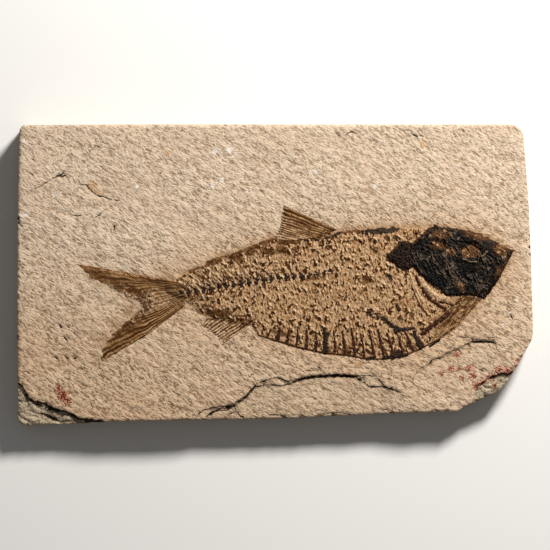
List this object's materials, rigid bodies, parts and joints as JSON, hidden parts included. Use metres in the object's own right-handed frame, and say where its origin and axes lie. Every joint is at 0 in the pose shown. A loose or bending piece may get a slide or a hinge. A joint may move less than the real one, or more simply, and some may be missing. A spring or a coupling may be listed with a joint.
{
  "type": "fossil fish slab",
  "caption": "Flat piece of cream limestone with a corner broken off, and a flattened fossil fish with black skull, backbone, ribs and fins on its face.",
  "frame": {"origin": "middle of the underside, at the centre of the object's box", "axes": "+Z out of the stone's face, +X towards the fish's head, +Y towards its back"},
  "size_m": [0.1548, 0.0904, 0.0121],
  "materials": {
    "limestone": "matt, fine-grained, split along the bedding",
    "black_bone": "satin, cracked fossil bone",
    "brown_bone": "matt, thin fossil bone"
  },
  "bodies": {
    "root": {"limestone_slab": "limestone", "skull": "black_bone", "backbone": "black_bone", "belly_ribs": "brown_bone", "shoulder_bone": "brown_bone", "dorsal_fin": "brown_bone", "anal_fin": "brown_bone", "tail_fin": "brown_bone"}
  },
  "joints": []
}
